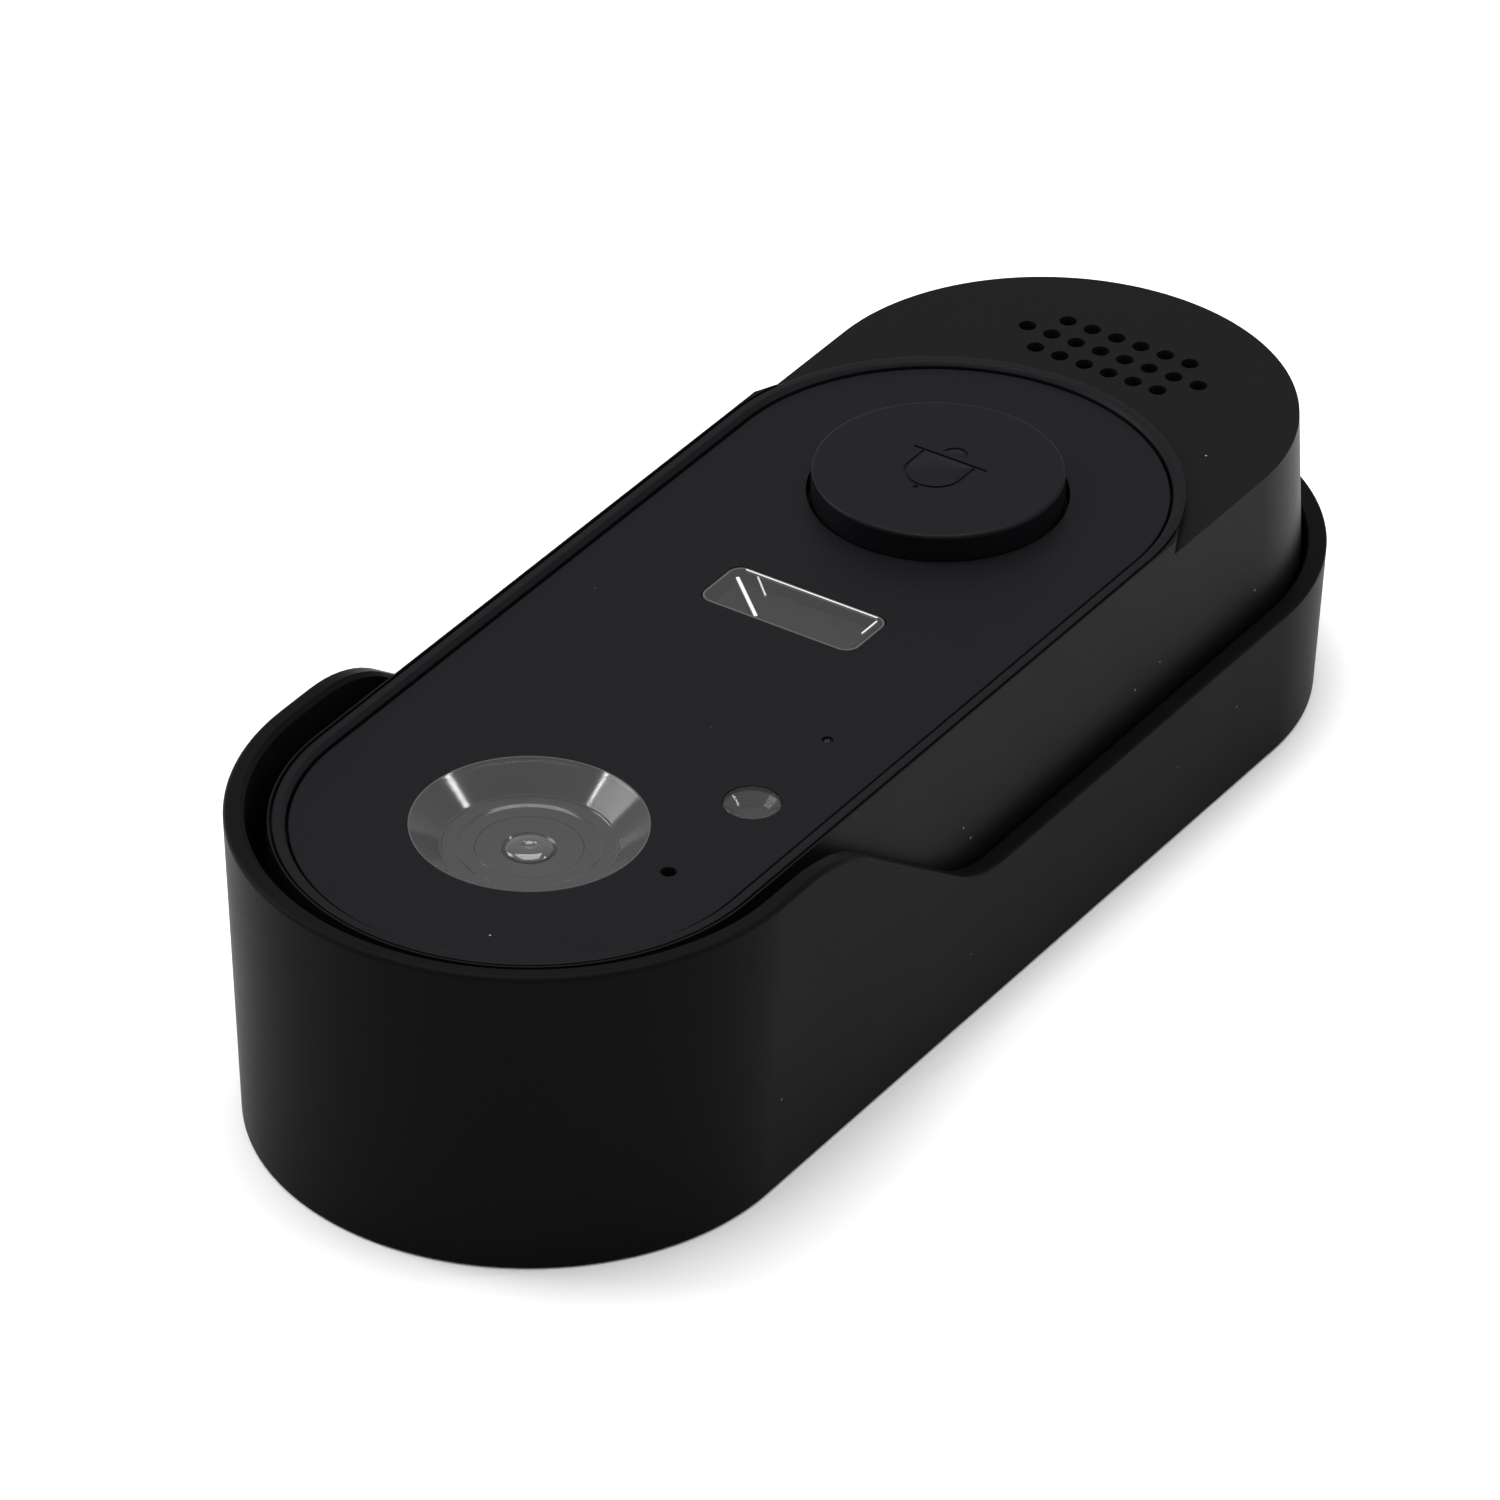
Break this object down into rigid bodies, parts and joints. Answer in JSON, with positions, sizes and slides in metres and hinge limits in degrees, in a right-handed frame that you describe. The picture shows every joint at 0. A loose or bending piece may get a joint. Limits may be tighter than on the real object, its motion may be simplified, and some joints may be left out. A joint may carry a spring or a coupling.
{
  "type": "video doorbell",
  "caption": "Black battery video doorbell lying on its back: a round-ended camera and call button unit seated in a wall tray with a rain hood.",
  "frame": {"origin": "centre of the bounding box on the tray's wall face", "axes": "+Z out of the wall, +Y up the wall towards the hooded camera end, +X to the visitor's right"},
  "size_m": [0.0504, 0.1306, 0.0303],
  "materials": {
    "black_plastic": "fine satin moulded texture, black",
    "face_plastic": "smooth satin black with a slightly cooler tint",
    "button_plastic": "smooth satin black",
    "camera_glass": "clear polished window",
    "funnel_grey": "semi-gloss dark grey",
    "lens_glass": "dark coated lens",
    "milky_window": "translucent milky plastic",
    "light_pipe": "clear polished plastic",
    "black_rubber": "matt silicone rubber",
    "circuit_board": "green solder mask",
    "chip_black": "matt moulded resin",
    "steel": "bright plated steel",
    "foil": "satin foil",
    "mesh_cloth": "fine black acoustic mesh"
  },
  "bodies": {
    "bracket": {"mount_bracket": "black_plastic"},
    "unit": {"side_housing": "black_plastic", "back_cover": "black_plastic", "bezel_ring": "face_plastic", "front_panel": "face_plastic", "housing_seal": "black_rubber", "camera_window": "camera_glass", "camera_funnel": "funnel_grey", "lens_barrel": "chip_black", "lens_element": "lens_glass", "camera_board": "circuit_board", "image_sensor": "chip_black", "led_board": "circuit_board", "infrared_led_1": "light_pipe", "infrared_led_2": "light_pipe", "pir_window": "milky_window", "pir_sensor": "steel", "light_sensor_window": "camera_glass", "light_sensor": "chip_black", "status_light_pipe": "light_pipe", "status_led": "light_pipe", "microphone": "steel", "mic_boot": "black_rubber", "button_return_pad": "black_rubber", "switch_body": "chip_black", "main_board": "circuit_board", "shield_can": "steel", "antenna": "foil", "battery_cell": "foil", "battery_pad": "black_rubber", "speaker": "chip_black", "speaker_gasket": "black_rubber", "speaker_mesh": "mesh_cloth", "charge_board": "circuit_board", "usb_port": "steel", "setup_switch": "chip_black", "case_screw_1": "steel", "case_screw_2": "steel", "case_screw_3": "steel", "case_screw_4": "steel", "case_screw_5": "steel", "case_screw_6": "steel", "board_screw_1": "steel", "board_screw_2": "steel", "board_screw_3": "steel", "board_screw_4": "steel"},
    "call_button": {"call_button": "button_plastic"},
    "switch_plunger": {"switch_plunger": "chip_black"},
    "port_cover": {"port_cover": "black_rubber"},
    "setup_button": {"setup_button": "black_rubber"}
  },
  "joints": [
    {"name": "unit_lift", "type": "slide", "parent": "bracket", "child": "unit", "axis": [0, 0, 1], "range_m": [0, 0.036]},
    {"name": "call_button_press", "type": "slide", "parent": "unit", "child": "call_button", "axis": [0, 0, -1], "range_m": [0, 0.0006], "stiffness_N_per_m": 3000},
    {"name": "switch_plunger_press", "type": "slide", "parent": "unit", "child": "switch_plunger", "axis": [0, 0, -1], "range_m": [0, 0.0006]},
    {"name": "port_cover_pull", "type": "slide", "parent": "unit", "child": "port_cover", "axis": [0, -1, 0], "range_m": [0, 0.01]},
    {"name": "setup_button_press", "type": "slide", "parent": "unit", "child": "setup_button", "axis": [0, 0, 1], "range_m": [0, 0.0004], "stiffness_N_per_m": 1500}
  ],
  "couplings": [
    {"joint": "switch_plunger_press", "follows": "call_button_press", "ratio": 1}
  ]
}
